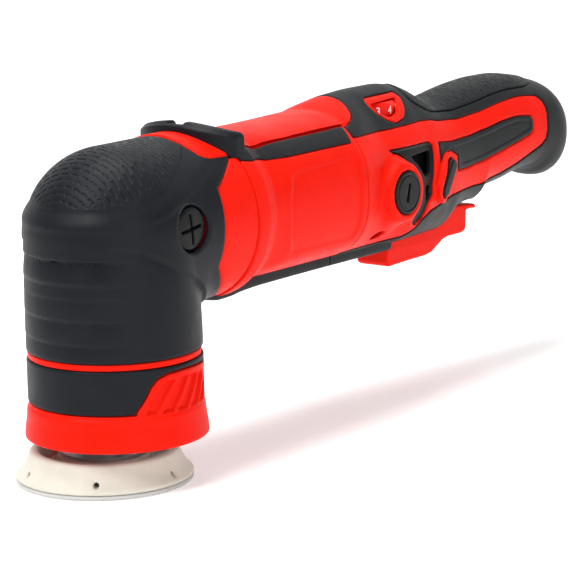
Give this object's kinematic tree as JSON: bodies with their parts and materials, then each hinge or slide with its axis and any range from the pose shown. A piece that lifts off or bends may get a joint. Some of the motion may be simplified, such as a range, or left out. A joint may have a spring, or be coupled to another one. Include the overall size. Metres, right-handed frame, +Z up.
{
  "type": "dual action polisher",
  "caption": "Small right-angle dual action polisher: domed gear head with an orbiting backing pad, barrel motor and hooked grip with paddle trigger and speed dial.",
  "frame": {"origin": "on the output spindle's axis, at the face of the backing pad", "axes": "+Z up through the gear head, +X from the head to the tail of the grip"},
  "size_m": [0.3936, 0.0823, 0.1498],
  "materials": {
    "red_plastic": "satin",
    "dial_plastic": "satin",
    "black_rubber": "matte",
    "black_plastic": "matte",
    "fan_plastic": "matte",
    "pad_urethane": "matte",
    "hook_nylon": "matte",
    "cast_aluminium": "satin",
    "steel": "satin",
    "laminations": "satin",
    "copper": "satin",
    "brass": "satin",
    "carbon": "matte",
    "circuit_board": "satin"
  },
  "bodies": {
    "housing": {"head_housing": "red_plastic", "head_boot": "black_rubber", "bridge": "black_rubber", "side_plugs": "black_plastic", "gear_casting": "cast_aluminium", "spindle_bearings": "steel", "spacer_sleeve": "steel", "bearing_cover": "steel", "cover_screws": "steel", "shroud": "red_plastic", "shroud_band": "black_rubber", "trim_ring": "red_plastic", "shroud_plate": "black_plastic", "motor_bearing_front": "steel", "motor_bearing_rear": "steel", "motor_housing": "red_plastic", "top_panel": "red_plastic", "side_strips": "black_rubber", "belly_spine": "black_rubber", "field_stator": "laminations", "field_coils": "copper", "air_baffle": "black_plastic", "handle_left": "red_plastic", "handle_right": "red_plastic", "grip_skin": "black_rubber", "belly_skin": "black_rubber", "side_inlay_left": "black_rubber", "side_inlay_right": "black_rubber", "vent_grille_left": "black_plastic", "vent_grille_right": "black_plastic", "brush_caps": "black_plastic", "brush_holders": "brass", "carbon_brushes": "carbon", "brush_springs": "steel", "dial_bezels": "red_plastic", "dial_control": "black_plastic", "control_board": "circuit_board", "switch_body": "black_plastic", "trigger_pin": "steel", "cord_gland": "black_rubber", "handle_screws": "steel"},
    "armature": {"armature_shaft": "steel", "armature_core": "laminations", "armature_windings": "copper", "commutator": "copper", "cooling_fan": "fan_plastic", "pinion": "steel"},
    "output": {"output_spindle": "steel", "driven_gear": "steel", "eccentric": "cast_aluminium", "pad_bearings": "steel"},
    "pad": {"backing_plate": "pad_urethane", "hook_layer": "hook_nylon", "hub_plate": "steel", "pad_bolt": "steel", "pad_spindle": "steel"},
    "trigger": {"trigger": "red_plastic"},
    "plunger": {"switch_plunger": "black_plastic"},
    "lock_button": {"lock_button": "black_plastic"},
    "speed_dial": {"speed_dial": "dial_plastic"}
  },
  "joints": [
    {"name": "armature_spin", "type": "hinge", "parent": "housing", "child": "armature", "pos_m": [0, 0, 0.1075], "axis": [1, 0, 0], "continuous": true},
    {"name": "output_spin", "type": "hinge", "parent": "housing", "child": "output", "pos_m": [0, 0, 0.08], "axis": [0, 0, 1], "continuous": true},
    {"name": "pad_spin", "type": "hinge", "parent": "output", "child": "pad", "pos_m": [-0.00364, 0.00477, 0.02], "axis": [0, 0, 1], "continuous": true},
    {"name": "trigger_pull", "type": "hinge", "parent": "housing", "child": "trigger", "pos_m": [0.197, 0, 0.0802], "axis": [0, -1, 0], "range_deg": [0, 4], "stiffness_Nm_per_rad": 2, "springref_deg": -5.73},
    {"name": "plunger_lift", "type": "slide", "parent": "housing", "child": "plunger", "axis": [0, 0, 1], "range_m": [0, 0.0025]},
    {"name": "lock_press", "type": "slide", "parent": "housing", "child": "lock_button", "axis": [0, 1, 0], "range_m": [0, 0.003], "stiffness_N_per_m": 400, "springref_m": -0.002},
    {"name": "dial_turn", "type": "hinge", "parent": "housing", "child": "speed_dial", "pos_m": [0.184, 0, 0.137], "axis": [0, 0, 1], "range_deg": [-54, 81]}
  ],
  "couplings": [
    {"joint": "output_spin", "follows": "armature_spin", "ratio": 0.33333},
    {"joint": "plunger_lift", "follows": "trigger_pull", "m_per_rad": 0.0345}
  ]
}
